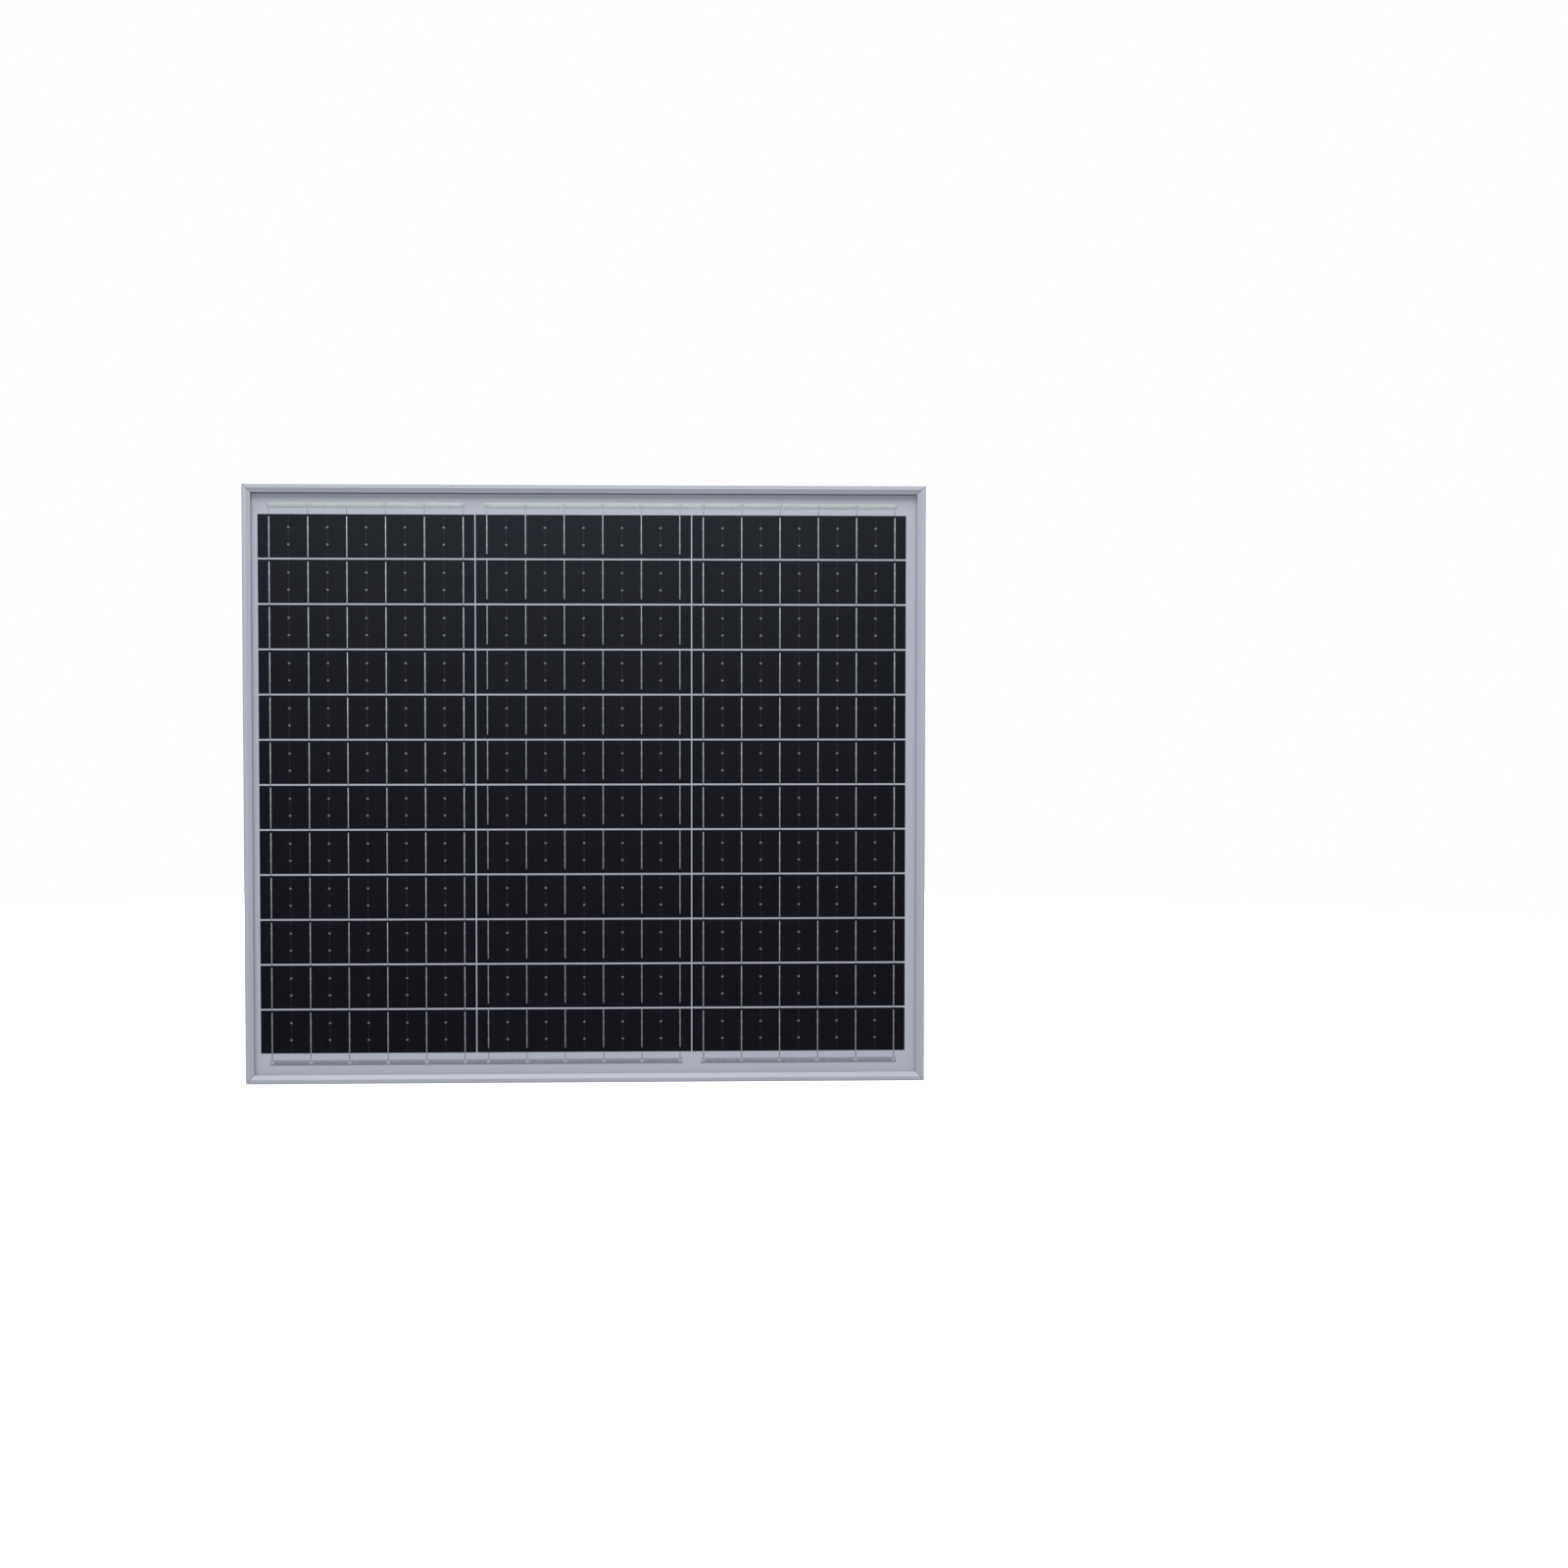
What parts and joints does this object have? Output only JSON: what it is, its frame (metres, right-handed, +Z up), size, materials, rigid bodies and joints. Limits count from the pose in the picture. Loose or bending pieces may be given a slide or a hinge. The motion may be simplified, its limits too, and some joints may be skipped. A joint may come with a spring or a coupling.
{
  "type": "solar panel",
  "caption": "Small framed solar panel with black cell strings under glass, a rear junction box with a hinged lid, and a tied cable with a barrel plug.",
  "frame": {"origin": "centre of the rear mounting plane, which the four rear flanges lie in", "axes": "+Z up along the side rails; +X to the right when the glass is looked at; +Y out of the back, so the glass faces -Y"},
  "size_m": [0.58, 0.025, 0.51],
  "materials": {
    "frame": "satin anodised extrusion, cool grey",
    "corner_key": "bare cast aluminium",
    "seal": "pale grey silicone, matt",
    "glass": "low-iron tempered glass, lightly satin",
    "encapsulant": "cured clear film",
    "cell": "near-black silicon under glass, thin silver fingers",
    "ribbon": "tinned copper ribbon, satin",
    "backsheet": "white film, semi-matt",
    "label": "grey printed film",
    "box_plastic": "black moulded plastic, fine grain",
    "rubber": "black soft moulding",
    "pad": "white foam tape",
    "brass": "stamped terminal metal",
    "steel": "plated steel",
    "plug_metal": "nickel-plated brass, bright",
    "wire_red": "red insulation",
    "wire_black": "black insulation",
    "cable": "black cable jacket, semi-matt",
    "tie": "black nylon strap"
  },
  "bodies": {
    "panel": {"frame_rail_top": "frame", "frame_rail_bottom": "frame", "frame_rail_left": "frame", "frame_rail_right": "frame", "corner_key_top_left": "corner_key", "corner_key_top_right": "corner_key", "corner_key_bottom_left": "corner_key", "corner_key_bottom_right": "corner_key", "glazing_gasket": "seal", "front_glass": "glass", "front_encapsulant": "encapsulant", "cell_string_left": "cell", "cell_string_middle": "cell", "cell_string_right": "cell", "bus_ribbon_top_left": "ribbon", "bus_ribbon_top_link": "ribbon", "bus_ribbon_bottom_link": "ribbon", "bus_ribbon_bottom_right": "ribbon", "rear_encapsulant": "encapsulant", "output_lead_positive": "ribbon", "output_lead_negative": "ribbon", "backsheet": "backsheet", "rating_label": "label", "box_adhesive_pad": "pad", "junction_box_base": "box_plastic", "bypass_diode": "box_plastic", "terminal_positive": "brass", "terminal_negative": "brass", "terminal_screw_positive": "steel", "terminal_screw_negative": "steel", "wire_positive": "wire_red", "wire_negative": "wire_black", "strain_relief": "rubber", "cable_lead": "cable", "cable_hank": "cable", "cable_tie": "tie", "cable_plug_lead": "cable", "plug_grip": "cable", "plug_barrel": "plug_metal", "plug_tip": "cable"},
    "lid": {"junction_box_lid": "box_plastic", "lid_gasket": "rubber"}
  },
  "joints": [
    {"name": "lid_hinge", "type": "hinge", "parent": "panel", "child": "lid", "pos_m": [0.0376, -0.00815, 0.1806], "axis": [0, 0, -1], "range_deg": [0, 110]}
  ]
}
